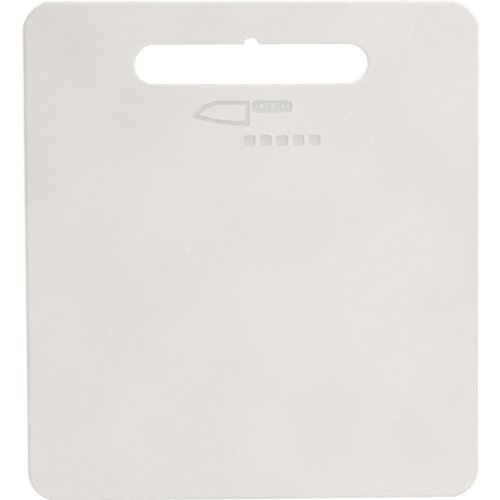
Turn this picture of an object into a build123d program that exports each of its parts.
"""A moulded polyethylene cutting board with a hand slot, in millimetres.

The board is one solid moulding. It lies flat with its cutting face up (+Z) and the hand slot
towards +Y. The origin is under its middle, on the surface that it rests on.
"""

from build123d import *

import os
from math import asin, degrees

# Board
board_width = 279.4  # 11 in, along X
board_length = 308.0  # 12 1/8 in, along Y
board_thickness = 9.5  # 3/8 in, along Z
rim_radius = 2.5  # rounding of the outer edges, on both faces
bottom_corner_radius = 18.0
top_corner_leg = 15.0  # from the square corner to where the corner's arc leaves each side
top_corner_radius = 22.0  # longer than the leg, so the arc meets each side at a slight angle
top_corner_blend = 5.0  # softens that angle

# Hand slot, and the half-round notch in its upper edge that hangs the board on a peg
slot_length = 143.5
slot_height = 24.2
slot_from_top = 26.6  # from the board's top edge to the slot's upper edge
slot_edge_radius = 1.0
palm_radius = 4.0  # rounding of the slot's lower edge where the palm presses
palm_straight = 28.0  # from the middle of the slot to where that rounding starts to fade
palm_reach = 59.0  # and to where it has faded out
palm_overrun = 2.0  # how far its cutting tool runs on past that
palm_clearance = 1.0  # how far the tool stands out of the board
notch_radius = 4.5
notch_drop = 0.4  # how far the notch's centre lies below the slot's upper edge
notch_edge_radius = 0.6

# Recessed emblem: a chef's knife over a row of chopped pieces. Centres are measured from the
# middle of the board's top edge.
emblem_depth = 0.7
emblem_bevel = 0.4
knife_centre = (-6.4, -69.0)
knife_length = 61.0
blade_length = 35.0
blade_height = 15.0
spine_drop_length = 17.0  # how far from the tip the spine begins to fall
blade_line = 2.3  # width of the engraved line that draws the blade
blade_corner = 1.0
tip_height = 5.0  # of the blade's tip above its cutting edge
bolster_gap = 1.8  # plain land between the blade and the handle
handle_height = 7.0
handle_corner = 2.4
rivet_count = 3
rivet_diameter = 2.4
rivet_pitch = 6.5
chopped_centre = (18.3, -85.7)
chopped_count = 5
chopped_pitch = 10.0
chopped_width = 6.4
chopped_height = 6.2
chopped_corner = 1.4

# Moulding marks on the back
gate_diameter = 9.0
gate_depth = 0.5
gate_centre_y = 40.0
ejector_diameter = 8.0
ejector_depth = 0.15
ejector_pitch_x = 100.0
ejector_pitch_y = 110.0
ejector_centre_y = -30.0

half_width = board_width / 2
half_length = board_length / 2
slot_upper_edge = half_length - slot_from_top
slot_centre_y = slot_upper_edge - slot_height / 2
height_tolerance = 0.001  # for picking out edges by their height


def board_plan():
    """The outline seen from above: round corners below, and blunter arcs for corners above."""
    side_end = half_length - top_corner_leg
    top_end = half_width - top_corner_leg
    with BuildSketch() as plan:
        with BuildLine():
            Line((-half_width, -half_length), (half_width, -half_length))
            Line((half_width, -half_length), (half_width, side_end))
            RadiusArc((half_width, side_end), (top_end, half_length), -top_corner_radius)
            Line((top_end, half_length), (-top_end, half_length))
            RadiusArc((-top_end, half_length), (-half_width, side_end), -top_corner_radius)
            Line((-half_width, side_end), (-half_width, -half_length))
        make_face()
        rows = plan.vertices().group_by(Axis.Y)
        fillet(rows[0], bottom_corner_radius)
        fillet(rows[1] + rows[2], top_corner_blend)
    return plan.sketch


def knife():
    """A chef's knife drawn flat: an engraved line for the blade and a solid riveted handle."""
    tip_x = -knife_length / 2
    heel_x = tip_x + blade_length
    spine_y = blade_height / 2
    tip = (tip_x, -spine_y + tip_height)
    handle_length = knife_length - blade_length - bolster_gap
    handle_centre = (knife_length / 2 - handle_length / 2, spine_y - handle_height / 2)
    with BuildSketch() as drawing:
        with BuildLine():
            Line((heel_x, -spine_y), (heel_x, spine_y))
            Line((heel_x, spine_y), (tip_x + spine_drop_length, spine_y))
            TangentArc((tip_x + spine_drop_length, spine_y), tip, tangent=(-1, 0))
            TangentArc((heel_x, -spine_y), tip, tangent=(-1, 0))
        make_face()
        columns = drawing.vertices().group_by(Axis.X)
        fillet(columns[0] + columns[-1], blade_corner)
        offset(drawing.face(), amount=-blade_line, kind=Kind.INTERSECTION, mode=Mode.SUBTRACT)
        with Locations(handle_centre):
            RectangleRounded(handle_length, handle_height, handle_corner)
            with GridLocations(rivet_pitch, 0, rivet_count, 1):
                Circle(rivet_diameter / 2, mode=Mode.SUBTRACT)
    return drawing.sketch


def chopped_pieces():
    """A row of rounded blocks."""
    with BuildSketch() as row:
        with GridLocations(chopped_pitch, 0, chopped_count, 1):
            RectangleRounded(chopped_width, chopped_height, chopped_corner)
    return row.sketch


def new_rims(part, heights):
    """The flat edges that the last step made at the given heights."""
    made = part.edges(Select.LAST)
    levels = [(z - height_tolerance, z + height_tolerance) for z in heights]
    return [edge for low, high in levels for edge in made.filter_by_position(Axis.Z, low, high)]


def palm_relief():
    """What the palm rounding cuts from the slot's lower edge on the top face. It runs straight
    across the middle, then a flat arc on each side carries it out of the board."""
    fade = palm_radius - slot_edge_radius
    bow_radius = (palm_reach - palm_straight) ** 2 / (2 * fade)
    turn = degrees(asin((palm_reach - palm_straight + palm_overrun) / bow_radius))
    edge_y = slot_upper_edge - slot_height
    outer_y = edge_y + palm_clearance
    outer_z = board_thickness + palm_clearance
    start = (edge_y - palm_radius, board_thickness)
    finish = (edge_y, board_thickness - palm_radius)
    with BuildPart() as relief:
        with BuildSketch(Plane.YZ.offset(palm_straight)) as section:
            with BuildLine():
                RadiusArc(start, finish, palm_radius)
                Line(finish, (outer_y, finish[1]))
                Line((outer_y, finish[1]), (outer_y, outer_z))
                Line((outer_y, outer_z), (start[0], outer_z))
                Line((start[0], outer_z), start)
            make_face()
        extrude(section.sketch, amount=-palm_straight)
        turning_axis = Axis((palm_straight, edge_y + bow_radius, 0), (0, 0, 1))
        revolve(section.sketch, axis=turning_axis, revolution_arc=turn)
        mirror(about=Plane.YZ)
    return relief.part


both_faces = (0, board_thickness)
plan = board_plan()
emblem_knife = knife().moved(Location((knife_centre[0], half_length + knife_centre[1])))
emblem_row = chopped_pieces().moved(Location((chopped_centre[0], half_length + chopped_centre[1])))

with BuildPart() as board:
    # The slab, with its rim rounded on both faces
    add(plan)
    extrude(amount=board_thickness)
    fillet(new_rims(board, both_faces), rim_radius)

    # The hand slot, rounded where fingers wrap round its edges
    with BuildSketch():
        with Locations((0, slot_centre_y)):
            SlotOverall(slot_length, slot_height)
    extrude(amount=board_thickness, mode=Mode.SUBTRACT)
    fillet(new_rims(board, both_faces), slot_edge_radius)

    # The slot's lower edge again, rounded more across its middle, on both faces
    relief = palm_relief()
    add(relief, mode=Mode.SUBTRACT)
    add(relief.mirror(Plane.XY.offset(board_thickness / 2)), mode=Mode.SUBTRACT)

    # The hang notch, cut through the slot's rounded upper edge
    with BuildSketch():
        with Locations((0, slot_upper_edge - notch_drop)):
            Circle(notch_radius)
    extrude(amount=board_thickness, mode=Mode.SUBTRACT)
    fillet(board.faces(Select.LAST).edges(), notch_edge_radius)

    # The emblem, sunk into the front face with a bevelled rim
    with BuildSketch(Plane.XY.offset(board_thickness)):
        add(emblem_knife)
        add(emblem_row)
    extrude(amount=-emblem_depth, mode=Mode.SUBTRACT)
    chamfer(new_rims(board, [board_thickness]), emblem_bevel)

    # What the mould leaves on the back: the gate's dimple and the ejector pins' faint rings
    with BuildSketch(Plane.XY):
        with Locations((0, gate_centre_y)):
            Circle(gate_diameter / 2)
    extrude(amount=gate_depth, mode=Mode.SUBTRACT)
    with BuildSketch(Plane.XY):
        with Locations((0, ejector_centre_y)):
            with GridLocations(ejector_pitch_x, ejector_pitch_y, 2, 2):
                Circle(ejector_diameter / 2)
    extrude(amount=ejector_depth, mode=Mode.SUBTRACT)

os.makedirs("parts", exist_ok=True)
export_step(board.part, "parts/board.step")
